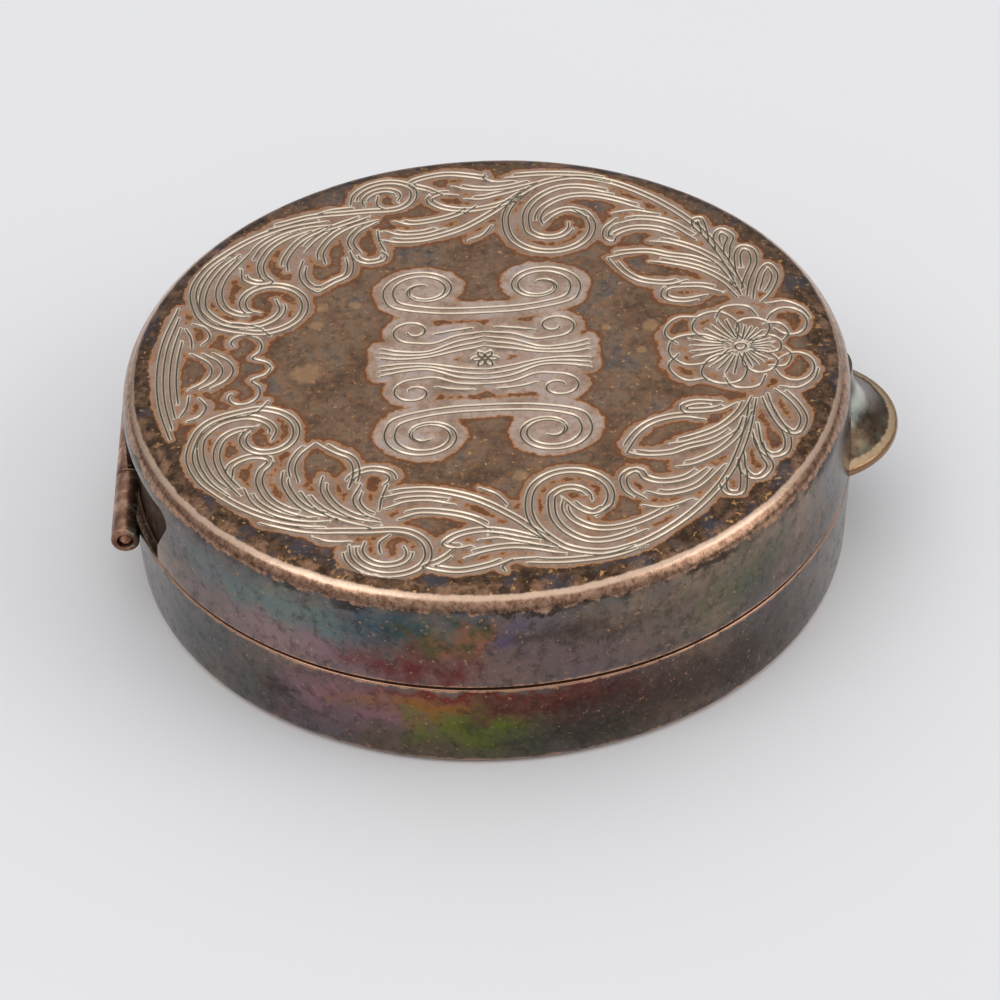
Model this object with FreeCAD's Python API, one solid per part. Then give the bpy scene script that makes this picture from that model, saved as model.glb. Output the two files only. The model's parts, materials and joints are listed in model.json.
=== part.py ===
import FreeCAD, Part
import math
import os

# Round hinged pill box in silver, drawn as the separate pieces that a silversmith solders together.
# Millimetres. The origin is the centre of the base's underside, +Z is up, the hinge is at +Y with its
# axis along X, and the thumb piece is at -Y.

# Driving dimensions
BODY_RADIUS = 19.0          # outer radius where the lid meets the base
HEIGHT = 10.8               # underside of the base to the top of the lid
SEAM_HEIGHT = 5.2           # rim of the base
SEAM_GAP = 0.16             # dark line between the two rims
DRAFT = 0.25                # each shell narrows by this much from its rim to its flat end
WALL = 0.54                 # thickness of both shells' walls
LID_TOP = 0.5               # thickness of the engraved top
FLOOR = 0.55                # thickness of the base's floor
LID_SHOULDER = 1.3          # outside radius of the lid's top edge
BASE_EDGE = 0.5             # outside radius of the base's bottom edge

COLLAR_GAP = 0.09           # radial clearance between the collar and the lid
COLLAR_WALL = 0.5
COLLAR_FOOT = 1.6           # lowest edge of the collar
COLLAR_TOP = 6.6            # how high the collar guides the lid
APRON_TOP = 9.3             # the collar stands taller behind the openings beside the hinge
APRON_HALF_ANGLE = 36.0     # degrees each side of the hinge

AXIS_Y = 18.9               # hinge axis, just inside the outline of the wall
AXIS_Z = 4.7
BARREL_RADIUS = 0.74
BORE_RADIUS = 0.42
PIN_RADIUS = 0.38
BARREL_LENGTH = 12.1
LID_KNUCKLE_LENGTH = 2.2
KNUCKLE_GAP = 0.05          # between neighbouring knuckles, along the axis
PIN_LENGTH = 11.9           # the peened ends sit just inside the outer knuckles
EDGE_BREAK = 0.1            # rounding on the knuckles' rims
PIN_DOME = 0.2              # rounding on the pin's peened ends

THUMB_REACH = 2.5           # how far the thumb piece stands out of the lid's wall
THUMB_PLAN_RADIUS = 5.0     # radius of its half-moon outline, seen from above
THUMB_COVE_RADIUS = 3.8     # radius of the hollow that sweeps up to the wall
THUMB_TOP = 9.35            # where the hollow meets the wall
THUMB_THICKNESS = 0.45

SOLDER_GAP = 0.01           # kept between soldered faces
SWING_GAP = 0.12            # kept around the knuckle that turns with the lid

LID_RIM = SEAM_HEIGHT + SEAM_GAP
PARTS = "parts"
UP = FreeCAD.Vector(0, 0, 1)
ALONG_HINGE = FreeCAD.Vector(1, 0, 0)
ORIGIN = FreeCAD.Vector(0, 0, 0)


def corner_arc(before, corner, after, radius):
    """Tangent arc that rounds one corner, as its start, middle and end points."""
    back = (before - corner).normalize()
    ahead = (after - corner).normalize()
    half = back.getAngle(ahead) / 2
    inward = (back + ahead).normalize()
    centre = corner + inward * (radius / math.sin(half))
    reach = radius / math.tan(half)
    return corner + back * reach, centre - inward * radius, corner + ahead * reach


def rounded_wire(corners, place):
    """Closed wire through (a, b, radius) corners; place turns (a, b) into a point in space."""
    points = [place(a, b) for a, b, _ in corners]
    radii = [radius for _, _, radius in corners]
    count = len(points)
    stops = []
    for i, point in enumerate(points):
        if radii[i] > 0:
            stops.append(corner_arc(points[i - 1], point, points[(i + 1) % count], radii[i]))
        else:
            stops.append((point,))
    edges = []
    for i, stop in enumerate(stops):
        if len(stop) == 3:
            edges.append(Part.Arc(*stop).toShape())
        edges.append(Part.makeLine(stop[-1], stops[(i + 1) % count][0]))
    return Part.Wire(edges)


def on_section(radius, height):
    return FreeCAD.Vector(radius, 0, height)


def on_hinge_section(x, radius):
    return FreeCAD.Vector(x, AXIS_Y, AXIS_Z + radius)


def on_back_wall(x, height):
    return FreeCAD.Vector(x, 0, height)


def turned(corners, angle=360.0):
    """Solid of revolution about +Z from a section of (radius, height, rounding) corners."""
    return Part.Face(rounded_wire(corners, on_section)).revolve(ORIGIN, UP, angle)


def wall_radius(height):
    """Outer radius of the two shells, which narrow away from the seam."""
    if height <= SEAM_HEIGHT:
        return BODY_RADIUS - DRAFT * (SEAM_HEIGHT - height) / SEAM_HEIGHT
    return BODY_RADIUS - DRAFT * (height - LID_RIM) / (HEIGHT - LID_RIM)


def hinge_cylinder(radius, start, end):
    """Cylinder on the hinge axis between two X positions."""
    return Part.makeCylinder(radius, end - start, FreeCAD.Vector(start, AXIS_Y, AXIS_Z), ALONG_HINGE)


def hinge_grooves():
    """Room for the barrel in the base: close around its own knuckles, wider around the lid's."""
    half_barrel = BARREL_LENGTH / 2 + KNUCKLE_GAP
    half_lid = LID_KNUCKLE_LENGTH / 2 + KNUCKLE_GAP
    seat = hinge_cylinder(BARREL_RADIUS + SOLDER_GAP, -half_barrel, half_barrel)
    swing = hinge_cylinder(BARREL_RADIUS + SWING_GAP, -half_lid, half_lid)
    return seat.fuse(swing)


def base_pan():
    inner_floor = wall_radius(FLOOR) - WALL
    shell = turned([
        (0, 0, 0),
        (wall_radius(0), 0, BASE_EDGE),
        (BODY_RADIUS, SEAM_HEIGHT, 0.08),
        (BODY_RADIUS - WALL, SEAM_HEIGHT, 0),
        (inner_floor, FLOOR, BASE_EDGE),
        (0, FLOOR, 0),
    ])
    return shell.cut(hinge_grooves())


def collar_section(top):
    """Section of the collar, parallel to the shells' walls, from its foot to a given height."""
    inside_base = WALL + SOLDER_GAP
    inside_lid = WALL + COLLAR_GAP
    outer_foot = wall_radius(COLLAR_FOOT) - inside_base
    outer_seam = BODY_RADIUS - inside_lid
    outer_top = wall_radius(top) - inside_lid
    return [
        (outer_foot - COLLAR_WALL, COLLAR_FOOT, 0),
        (outer_foot, COLLAR_FOOT, 0),
        (BODY_RADIUS - inside_base, SEAM_HEIGHT - SEAM_GAP, 0),
        (outer_seam, SEAM_HEIGHT, 0),
        (outer_top, top, COLLAR_WALL * 0.4),
        (outer_top - COLLAR_WALL, top, 0),
        (outer_seam - COLLAR_WALL, SEAM_HEIGHT, 0),
    ]


def base_collar():
    ring = turned(collar_section(COLLAR_TOP))
    apron = turned(collar_section(APRON_TOP), 2 * APRON_HALF_ANGLE)
    apron.rotate(ORIGIN, UP, 90 - APRON_HALF_ANGLE)
    return ring.fuse(apron).removeSplitter().cut(hinge_grooves())


def turned_on_hinge(corners):
    """Solid of revolution about the hinge axis from a section of (x, radius, rounding) corners."""
    section = Part.Face(rounded_wire(corners, on_hinge_section))
    return section.revolve(FreeCAD.Vector(0, AXIS_Y, AXIS_Z), ALONG_HINGE, 360)


def knuckle(start, end):
    """One tube of the barrel, with its rims rounded."""
    return turned_on_hinge([
        (start, BORE_RADIUS, 0),
        (start, BARREL_RADIUS, EDGE_BREAK),
        (end, BARREL_RADIUS, EDGE_BREAK),
        (end, BORE_RADIUS, 0),
    ])


def hinge_pin():
    half = PIN_LENGTH / 2
    return turned_on_hinge([
        (-half, 0, 0),
        (-half, PIN_RADIUS, PIN_DOME),
        (half, PIN_RADIUS, PIN_DOME),
        (half, 0, 0),
    ])


def hinge_opening(side):
    """Opening in the lid's wall beside the tongue that carries the lid's knuckle."""
    tongue_edge = side * (LID_KNUCKLE_LENGTH / 2 - KNUCKLE_GAP)
    low_edge = side * 8.4
    high_edge = side * 10.1
    knee = 6.3
    top = 9.3
    below_rim = LID_RIM - 1.0
    outline = rounded_wire([
        (tongue_edge, below_rim, 0),
        (low_edge, below_rim, 0),
        (low_edge, knee, 1.0),
        (high_edge, top, 0.7),
        (tongue_edge, top, 0.4),
    ], on_back_wall)
    return Part.Face(outline).extrude(FreeCAD.Vector(0, BODY_RADIUS + 1, 0))


def lid_outside(gap=0.0):
    """The lid's outer form as a full solid, grown by a small gap."""
    return turned([
        (0, LID_RIM, 0),
        (BODY_RADIUS + gap, LID_RIM, 0),
        (wall_radius(HEIGHT) + gap, HEIGHT + gap, LID_SHOULDER),
        (0, HEIGHT + gap, 0),
    ])


def lid_pan():
    hollow = turned([
        (0, LID_RIM - 1.0, 0),
        (BODY_RADIUS - WALL, LID_RIM - 1.0, 0),
        (BODY_RADIUS - WALL, LID_RIM, 0),
        (wall_radius(HEIGHT) - WALL, HEIGHT - LID_TOP, LID_SHOULDER - WALL),
        (0, HEIGHT - LID_TOP, 0),
    ])
    half_knuckle = LID_KNUCKLE_LENGTH / 2
    seat = hinge_cylinder(BARREL_RADIUS + SOLDER_GAP, -half_knuckle, half_knuckle)
    shell = lid_outside().cut(hollow)
    for side in (-1, 1):
        shell = shell.cut(hinge_opening(side))
    return shell.cut(seat)


def thumb_section():
    """Half of the thumb piece's flare: a sheet between two arcs, from its neck out to its rim."""
    neck = THUMB_PLAN_RADIUS - THUMB_REACH
    centre = on_section(neck + THUMB_COVE_RADIUS, THUMB_TOP)
    steepest = math.acos((centre.x - THUMB_PLAN_RADIUS) / THUMB_COVE_RADIUS)
    back_steepest = math.acos((centre.x - THUMB_PLAN_RADIUS) / (THUMB_COVE_RADIUS + THUMB_THICKNESS))

    def on_arc(radius, angle):
        return centre - on_section(radius * math.cos(angle), radius * math.sin(angle))

    face_arc = [on_arc(THUMB_COVE_RADIUS, steepest * t) for t in (0, 0.5, 1)]
    back_arc = [on_arc(THUMB_COVE_RADIUS + THUMB_THICKNESS, back_steepest * t) for t in (1, 0.5, 0)]
    return Part.Wire([
        Part.Arc(*face_arc).toShape(),
        Part.makeLine(face_arc[-1], back_arc[0]),
        Part.Arc(*back_arc).toShape(),
        Part.makeLine(back_arc[-1], face_arc[0]),
    ])


def thumb_piece():
    """Half-moon lip with a level rim, whose hollow face flares out and down from the lid's wall."""
    flare = Part.Face(thumb_section()).revolve(ORIGIN, UP, 360)
    flare.translate(FreeCAD.Vector(0, -(BODY_RADIUS + THUMB_REACH - THUMB_PLAN_RADIUS), 0))
    below = Part.makeCylinder(BODY_RADIUS + SEAM_GAP, LID_RIM)
    return largest_solid(flare.cut(lid_outside(SOLDER_GAP)).cut(below))


def largest_solid(shape):
    return max(shape.Solids, key=lambda solid: solid.Volume)


def build_parts():
    lid_end = LID_KNUCKLE_LENGTH / 2
    base_start = lid_end + KNUCKLE_GAP
    base_end = BARREL_LENGTH / 2
    return {
        "base_pan": base_pan(),
        "base_collar": base_collar(),
        "base_knuckle_left": knuckle(-base_end, -base_start),
        "base_knuckle_right": knuckle(base_start, base_end),
        "hinge_pin": hinge_pin(),
        "lid_pan": lid_pan(),
        "lid_knuckle": knuckle(-lid_end, lid_end),
        "thumb_piece": thumb_piece(),
    }


os.makedirs(PARTS, exist_ok=True)
for node, shape in build_parts().items():
    shape.exportStep(os.path.join(PARTS, node + ".step"))
    box = shape.BoundBox
    print(f"{node}: {len(shape.Solids)} solid, {shape.Volume:.2f} mm3, valid {shape.isValid()}, "
          f"y {box.YMin:.2f} to {box.YMax:.2f}, z {box.ZMin:.2f} to {box.ZMax:.2f}")
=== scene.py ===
import json
import math

import bmesh
import bpy
import numpy as np
from mathutils import Matrix, Vector, geometry, kdtree, noise


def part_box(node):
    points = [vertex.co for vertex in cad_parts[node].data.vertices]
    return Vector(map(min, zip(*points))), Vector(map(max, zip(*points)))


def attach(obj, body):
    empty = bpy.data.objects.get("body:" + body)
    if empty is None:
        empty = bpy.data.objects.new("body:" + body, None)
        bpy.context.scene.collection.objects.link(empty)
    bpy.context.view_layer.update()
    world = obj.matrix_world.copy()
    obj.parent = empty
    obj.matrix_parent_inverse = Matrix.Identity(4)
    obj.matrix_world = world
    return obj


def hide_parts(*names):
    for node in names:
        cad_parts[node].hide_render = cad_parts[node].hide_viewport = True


# Looks for the hinged silver pill box. Shapes are worked out in millimetres in the CAD frame and scaled to
# metres when a mesh is made. In plan, u runs from the hinge to the thumb piece and v to the box's right.

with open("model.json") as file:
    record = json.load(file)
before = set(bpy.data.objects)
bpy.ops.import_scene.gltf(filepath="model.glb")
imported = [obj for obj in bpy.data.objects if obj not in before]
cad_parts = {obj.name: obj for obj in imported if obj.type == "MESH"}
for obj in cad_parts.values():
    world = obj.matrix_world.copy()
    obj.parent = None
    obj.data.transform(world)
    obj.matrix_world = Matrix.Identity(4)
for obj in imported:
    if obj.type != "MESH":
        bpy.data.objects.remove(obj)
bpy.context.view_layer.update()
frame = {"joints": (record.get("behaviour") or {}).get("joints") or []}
MM = 0.001
noise.seed_set(1)


def box_mm(node):
    low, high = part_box(node)
    return low / MM, high / MM


_, BASE_HIGH = box_mm("base_pan")
_, BARREL_END = box_mm("base_knuckle_right")
LID_LOW, LID_HIGH = box_mm("lid_pan")
COLLAR_LOW, COLLAR_HIGH = box_mm("base_collar")
THUMB_LOW, THUMB_HIGH = box_mm("thumb_piece")
KNUCKLE_LOW, KNUCKLE_HIGH = box_mm("lid_knuckle")
PIN_LOW, PIN_HIGH = box_mm("hinge_pin")
AXIS = Vector(frame["joints"][0]["pos_m"]) / MM

# Shells
RADIUS = BASE_HIGH.x
SEAM = BASE_HIGH.z
LID_RIM = LID_LOW.z
TOP = LID_HIGH.z
DRAFT = 0.25
WALL = 0.54
LID_PLATE = 0.5
FLOOR = 0.55
SHOULDER = 1.3
BASE_EDGE = 0.5
RIM_EDGE = 0.09
TURN_STEPS = 480

# Collar, hinge and thumb piece
COLLAR_WALL = 0.5
COLLAR_GAP = 0.09
COLLAR_TOP = 6.6
COLLAR_LEDGE = 0.16
APRON_HALF_ANGLE = math.radians(36)
BARREL = (KNUCKLE_HIGH.z - KNUCKLE_LOW.z) / 2
BORE = 0.42
SOLDER_GAP = 0.01
SWING_GAP = 0.12
KNUCKLE_GAP = 0.05
THUMB_PLAN_RADIUS = 5.0
THUMB_COVE = 3.8
THUMB_THICKNESS = 0.45
THUMB_CENTRE = THUMB_LOW.y + THUMB_PLAN_RADIUS
THUMB_NECK = RADIUS + THUMB_CENTRE

# Engraving, drawn for a lid of ARTWORK_RADIUS
ARTWORK_RADIUS = 19.0
CUT_HALF_WIDTH = 0.115
CUT_DEPTH = 0.085
CUT_SPACING = 0.14
CUT_GAP = 0.32
FIELD_SPACING = 0.3
FIELD_CLEARANCE = 0.22
TRIANGLE_HEIGHT = 0.866
FAR_FROM_CUTS = 5.0

WORLD_STRENGTH = 1.2
FLOOR_GAP = 0.02


# ------------------------------ outlines and meshes

def rounded(corners, steps=6):
    """Points of an outline through (a, b, radius) corners, each radius drawn as a tangent arc."""
    points = []
    for i, (a, b, radius) in enumerate(corners):
        corner = Vector((a, b))
        if radius == 0:
            points.append((a, b))
            continue
        back = (Vector(corners[i - 1][:2]) - corner).normalized()
        ahead = (Vector(corners[(i + 1) % len(corners)][:2]) - corner).normalized()
        half = back.angle(ahead) / 2
        centre = corner + (back + ahead).normalized() * (radius / math.sin(half))
        start = corner + back * (radius / math.tan(half)) - centre
        end = corner + ahead * (radius / math.tan(half)) - centre
        first = math.atan2(start.y, start.x)
        sweep = (math.atan2(end.y, end.x) - first + math.pi) % (2 * math.pi) - math.pi
        for k in range(steps + 1):
            angle = first + sweep * k / steps
            points.append((centre.x + radius * math.cos(angle), centre.y + radius * math.sin(angle)))
    return points


def divided(points, longest):
    """A closed outline with its long edges divided."""
    result = []
    for i, (a, b) in enumerate(points):
        c, d = points[(i + 1) % len(points)]
        parts = max(1, math.ceil(math.hypot(c - a, d - b) / longest))
        result += [(a + (c - a) * k / parts, b + (d - b) * k / parts) for k in range(parts)]
    return result


def spun(section, steps=TURN_STEPS, start=0.0, sweep=2 * math.pi):
    """Vertices and faces of a closed (radius, height) section turned about +Z."""
    full = abs(sweep - 2 * math.pi) < 1e-6
    columns = steps if full else steps + 1
    verts, rings = [], []
    for radius, height in section:
        if radius < 1e-6:
            rings.append([len(verts)] * columns)
            verts.append((0, 0, height))
            continue
        rings.append(list(range(len(verts), len(verts) + columns)))
        for k in range(columns):
            angle = start + sweep * k / steps
            verts.append((radius * math.cos(angle), radius * math.sin(angle), height))
    faces = []
    for i, ring in enumerate(rings):
        following = rings[(i + 1) % len(rings)]
        for k in range(steps):
            nxt = (k + 1) % columns
            corners = [ring[k], ring[nxt], following[nxt], following[k]]
            corners = list(dict.fromkeys(corners))
            if len(corners) > 2:
                faces.append(corners)
    if not full:
        faces.append([ring[0] for ring in rings])
        faces.append([ring[-1] for ring in reversed(rings)])
    return verts, faces


def new_object(name, data):
    made = bpy.data.objects.new(name, data)
    bpy.context.scene.collection.objects.link(made)
    return made


def new_piece(name, verts, faces):
    """An object from points in millimetres, with its faces turned outward."""
    mesh = bpy.data.meshes.new(name)
    mesh.from_pydata([Vector(v) * MM for v in verts], [], faces)
    mesh.validate()
    bm = bmesh.new()
    bm.from_mesh(mesh)
    bmesh.ops.recalc_face_normals(bm, faces=bm.faces)
    bm.to_mesh(mesh)
    bm.free()
    return new_object(name, mesh)


def combined(piece, other, operation):
    """Joins another mesh to a piece, or cuts it away, and removes it."""
    modifier = piece.modifiers.new("join", "BOOLEAN")
    modifier.operation = operation
    modifier.solver = "EXACT"
    modifier.object = other
    evaluated = piece.evaluated_get(bpy.context.evaluated_depsgraph_get())
    mesh = bpy.data.meshes.new_from_object(evaluated)
    piece.modifiers.clear()
    piece.data = mesh
    bpy.data.objects.remove(other)


def on_hinge(name, section, steps):
    """A piece turned about the hinge axis from a closed section of (radius, place along it)."""
    verts, faces = spun(section, steps)
    return new_piece(name, [(z, AXIS.y + x, AXIS.z + y) for x, y, z in verts], faces)


def bored(piece, gap, half_length):
    """Cuts room for the barrel, with a gap round it."""
    radius = BARREL + gap
    section = [(0, -half_length), (radius, -half_length), (radius, half_length), (0, half_length)]
    combined(piece, on_hinge("cutter", section, 96), "DIFFERENCE")


def grooved(piece):
    """Cuts the barrel's seat, which is wider round the knuckle that turns with the lid."""
    bored(piece, SOLDER_GAP, BARREL_END.x + KNUCKLE_GAP)
    bored(piece, SWING_GAP, KNUCKLE_HIGH.x + KNUCKLE_GAP)


def uneven(piece, node, amount, size):
    """Moves a mesh by a slow noise, as hand-worked sheet is never quite true, inside its CAD box."""
    low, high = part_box(node)
    for vertex in piece.data.vertices:
        moved = vertex.co + noise.noise_vector(vertex.co / (size * MM)) * (amount * MM)
        vertex.co = [min(max(c, least), most) for c, least, most in zip(moved, low, high)]


def finished(piece, body, node):
    """Shades a piece smoothly, except at sharp edges, attaches it to its body and hides the CAD part it
    stands for.
    """
    piece.data.polygons.foreach_set("use_smooth", [True] * len(piece.data.polygons))
    piece.data.set_sharp_from_angle(angle=math.radians(32))
    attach(piece, body)
    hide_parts(node)
    return piece


def wall_radius(height):
    """Outer radius of the shells, which narrow away from the seam."""
    if height <= SEAM:
        return RADIUS - DRAFT * (SEAM - height) / SEAM
    return RADIUS - DRAFT * (height - LID_RIM) / (TOP - LID_RIM)


def lid_section():
    """Section of the lid's shell, from the middle of its top over the shoulder and back inside."""
    return rounded([
        (0, TOP, 0),
        (wall_radius(TOP), TOP, SHOULDER),
        (RADIUS, LID_RIM, RIM_EDGE),
        (RADIUS - WALL, LID_RIM, RIM_EDGE),
        (wall_radius(TOP) - WALL, TOP - LID_PLATE, SHOULDER - WALL),
        (0, TOP - LID_PLATE, 0),
    ], 8)


FLAT_RADIUS = lid_section()[1][0]


# ------------------------------ engraving

def curve(points):
    """A smooth line through the points, sampled evenly."""
    points = [Vector(p) for p in points]
    padded = [2 * points[0] - points[1]] + points + [2 * points[-1] - points[-2]]
    dense = []
    for i in range(1, len(padded) - 2):
        a, b, c, d = padded[i - 1:i + 3]
        for k in range(12):
            t = k / 12
            dense.append(0.5 * (2 * b + (c - a) * t + (2 * a - 5 * b + 4 * c - d) * t * t
                                + (3 * b - a - 3 * c + d) * t ** 3))
    dense.append(points[-1])
    steps = np.array([(dense[i + 1] - dense[i]).length for i in range(len(dense) - 1)])
    along = np.concatenate([[0], np.cumsum(steps)])
    count = max(2, round(along[-1] / CUT_SPACING) + 1)
    wanted = np.linspace(0, along[-1], count)
    line = np.array(dense)
    return np.stack([np.interp(wanted, along, line[:, 0]), np.interp(wanted, along, line[:, 1])], 1)


def spiral(centre, start_radius, end_radius, start_angle, end_angle, squash=1.0):
    """Points of a spiral, about one every 30 degrees. Angles are in degrees; squash flattens it in v."""
    count = max(2, round(abs(end_angle - start_angle) / 30))
    points = []
    for k in range(count + 1):
        t = k / count
        angle = math.radians(start_angle + (end_angle - start_angle) * t)
        radius = start_radius + (end_radius - start_radius) * t
        points.append((centre[0] + radius * math.cos(angle), centre[1] + squash * radius * math.sin(angle)))
    return points


def mirrored(strokes):
    return [[(u, -v) for u, v in stroke] for stroke in strokes]


def rear_scroll():
    """Large scroll near the hinge, with its tail along the rim."""
    tail = [(-14.3, -4.2), (-15.4, -6.7), (-15.0, -8.8), (-13.8, -10.3), (-12.2, -11.6), (-10.3, -12.5),
            (-8.2, -12.8)]
    return [
        spiral((-11.4, -5.5), 0.8, 2.35, 115, 466) + tail,
        [(-10.9, -5.9), (-10.7, -5.0), (-11.2, -4.2), (-12.2, -3.8), (-13.6, -4.2), (-14.6, -5.5),
         (-14.7, -7.3), (-14.1, -9.0), (-13.1, -10.2)],
        [(-11.8, -4.8), (-12.7, -4.85), (-13.5, -5.5), (-13.8, -6.8), (-13.5, -8.4), (-12.5, -10.2)],
    ]


def rear_leaf():
    """Lobed acanthus leaf that springs from the rear scroll's tail."""
    return [
        [(-12.8, -8.7), (-12.7, -7.8), (-11.9, -7.3), (-11.1, -7.5), (-11.5, -8.2), (-11.6, -9.2),
         (-11.1, -10.5), (-10.2, -11.4), (-9.1, -12.0)],
        [(-12.2, -9.6), (-11.8, -10.8), (-10.7, -11.8), (-9.2, -12.3), (-8.0, -12.4)],
        [(-10.3, -8.4), (-10.3, -9.4), (-9.7, -10.8), (-8.8, -11.7), (-7.6, -12.2)],
        [(-9.5, -9.3), (-9.7, -8.1), (-9.4, -7.1), (-8.7, -6.3)],
        [(-8.7, -6.3), (-7.8, -7.1), (-7.0, -7.7), (-6.8, -8.7), (-7.0, -9.9)],
        [(-9.4, -10.0), (-8.8, -11.1), (-7.8, -12.1), (-6.0, -13.0)],
        [(-8.3, -8.9), (-8.4, -10.0), (-7.8, -11.3), (-6.8, -12.2), (-5.5, -12.7)],
        [(-7.0, -9.9), (-6.7, -9.1), (-6.0, -8.7), (-5.2, -8.9), (-5.0, -9.4), (-5.3, -9.8)],
        [(-6.4, -9.7), (-6.8, -10.8), (-6.4, -11.8), (-5.5, -12.5)],
        [(-5.1, -9.8), (-5.4, -10.8), (-5.5, -11.7)],
    ]


def side_scroll():
    """Small scroll at the middle of the side, with the stem that feeds it."""
    return [
        [(-11.6, -12.5), (-9.4, -13.2), (-7.6, -13.3), (-6.1, -13.4)]
        + spiral((-5.0, -14.9), 1.5, 2.1, 85, -195),
        spiral((-5.1, -14.8), 0.8, 1.35, 25, -215),
        [(-5.0, -13.6), (-5.5, -14.1), (-5.5, -15.0)],
        [(-8.8, -13.7), (-8.0, -14.0), (-6.9, -14.0)],
    ]


def side_leaf():
    """Leaves between the side scroll and the front scroll."""
    return [
        [(-5.3, -10.8), (-4.2, -10.5), (-2.7, -10.6), (-0.8, -11.4), (0.9, -12.8), (1.9, -13.9),
         (3.0, -14.9)],
        [(-5.1, -11.6), (-4.2, -11.2), (-3.0, -11.2), (-1.8, -11.6)],
        [(-4.6, -12.5), (-3.6, -12.1), (-2.2, -12.3), (-1.0, -12.8), (-0.1, -13.6)],
        [(2.4, -14.4), (0.9, -13.7), (-0.5, -13.4), (-1.8, -13.7), (-2.5, -14.4), (-1.9, -14.8),
         (-1.1, -14.7)],
        [(-0.7, -14.3), (0.2, -14.2), (1.2, -14.5), (2.6, -15.0)],
        [(-1.4, -15.6), (-0.5, -15.2), (0.8, -15.0), (2.1, -15.2), (3.4, -15.7)],
        [(-1.9, -14.8), (-2.7, -15.6), (-3.5, -16.2), (-2.7, -16.7), (-1.6, -16.9), (-0.2, -16.5),
         (0.9, -15.9)],
        [(-0.6, -10.4), (0.2, -10.9), (0.7, -11.7)],
        [(2.1, -15.9), (1.0, -15.9), (0.4, -16.4), (0.5, -16.9)],
        [(1.6, -16.3), (3.7, -16.5), (5.9, -16.3), (7.5, -15.6)],
    ]


def front_scroll():
    """Large scroll near the thumb piece; its stem runs along the rim into the flower."""
    stem = [(1.7, -12.8), (2.3, -14.1), (3.6, -15.4), (5.3, -16.0), (6.8, -15.7), (8.2, -14.9),
            (9.9, -13.3), (11.4, -11.2), (12.4, -9.0), (13.1, -6.8), (13.6, -4.4)]
    return [
        spiral((4.0, -11.4), 1.9, 2.35, -54, 180) + stem,
        spiral((3.9, -11.6), 1.0, 1.15, -5, 170) + [(2.8, -12.8), (3.4, -14.0), (4.5, -14.8), (5.8, -14.9),
                                                  (7.5, -14.2)],
        [(3.5, -11.5), (3.4, -12.3), (3.8, -13.2), (4.8, -13.9), (6.0, -14.0), (7.4, -13.5), (9.0, -12.5)],
        [(3.5, -11.5), (4.2, -12.4), (5.0, -12.75), (5.9, -12.1)],
        [(7.5, -11.8), (6.8, -11.0), (6.7, -10.1), (7.2, -9.7), (7.5, -10.3), (8.4, -10.7), (9.6, -10.5),
         (10.7, -9.7)],
        [(7.6, -11.3), (8.7, -11.6), (10.2, -11.1), (11.6, -9.5)],
        [(7.3, -12.3), (8.4, -12.5), (9.8, -12.0)],
    ]


def front_leaf():
    """Leaf and sprays that fall away from the flower."""
    return [
        [(6.8, -8.2), (7.5, -6.8), (8.4, -5.95), (9.8, -5.6), (10.9, -5.9)],
        [(6.8, -8.2), (7.8, -8.5), (9.0, -8.5), (10.0, -8.1), (11.3, -7.7), (12.6, -6.7)],
        [(9.0, -7.7), (9.9, -7.5), (11.5, -6.8), (12.7, -5.6), (13.4, -4.2)],
        [(11.8, -4.5), (10.6, -4.3), (9.8, -4.6), (9.9, -5.2), (10.7, -5.3), (11.7, -5.2), (12.6, -4.7)],
        [(9.2, -9.5), (10.2, -9.3), (11.5, -8.5), (12.6, -7.2), (13.3, -5.4)],
        [(14.6, -3.7), (15.5, -4.9), (16.0, -6.2), (15.6, -7.2), (14.9, -6.5), (14.4, -5.2), (14.2, -4.0)],
        [(13.9, -4.3), (14.2, -5.8), (14.9, -7.4), (14.9, -8.6), (14.2, -8.9), (13.6, -8.0), (13.5, -6.4)],
        [(13.2, -7.4), (13.5, -8.8), (13.9, -9.9), (13.3, -10.6), (12.7, -9.9), (12.6, -8.6)],
        [(12.3, -9.4), (12.4, -10.6), (12.3, -11.7), (11.7, -11.5), (11.6, -10.5)],
    ]


def rear_palmette():
    """Paired curls, nested leaves and rim arcs on the hinge side."""
    strokes = []
    for side in (-1, 1):
        strokes += [
            [(u, side * v) for u, v in spiral((-12.7, 2.1), 0.35, 1.35, 200, -60)]
            + [(-11.3, side * 0.5), (-11.0, 0.0)],
            [(-15.3, side * 4.1), (-14.6, side * 3.7), (-14.3, side * 2.9), (-14.7, side * 2.2)],
            [(-15.7, side * 3.7), (-15.3, side * 2.9), (-15.2, side * 2.0)],
            [(-13.4, side * 4.0), (-12.6, side * 3.9), (-11.7, side * 3.5), (-11.1, side * 2.7)],
        ]
    for reach, width in ((0.0, 5.6), (0.42, 4.7), (0.84, 3.8), (1.26, 2.6)):
        strokes.append([(-17.3 + reach + (width * part) ** 2 / 34, width * part)
                        for part in (-1, -0.5, 0, 0.5, 1)])
    for reach in (0.0, 0.55, 1.1):
        strokes.append([(-15.2 + reach, -1.5), (-14.4 + reach, -0.8), (-14.1 + reach, 0.0),
                        (-14.4 + reach, 0.8), (-15.2 + reach, 1.5)])
    return strokes


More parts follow.
